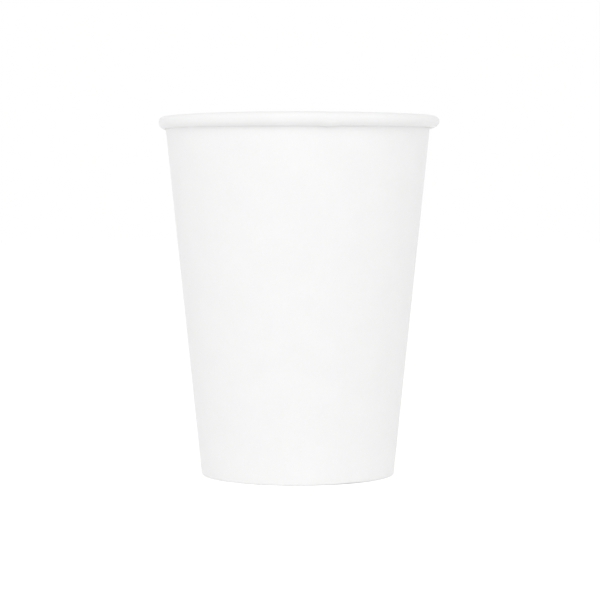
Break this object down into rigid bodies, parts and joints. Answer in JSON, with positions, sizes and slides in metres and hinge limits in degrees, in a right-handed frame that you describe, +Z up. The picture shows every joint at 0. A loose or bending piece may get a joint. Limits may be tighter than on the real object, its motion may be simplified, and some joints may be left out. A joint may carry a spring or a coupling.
{
  "type": "paper cup",
  "caption": "Plain single-wall paper cup for hot drinks: a tapered board wall with a rolled rim, a glued lap at the back and a recessed bottom",
  "frame": {"origin": "centre of the foot, on the table that the cup stands on", "axes": "+Z up along the cup's axis, +Y towards the glued lap at the back, -Y towards the viewer of the picture"},
  "size_m": [0.089, 0.089, 0.1134],
  "materials": {
    "wall_board": "matte",
    "bottom_board": "matte"
  },
  "bodies": {
    "root": {"side_wall": "wall_board", "bottom_disc": "bottom_board"}
  },
  "joints": []
}
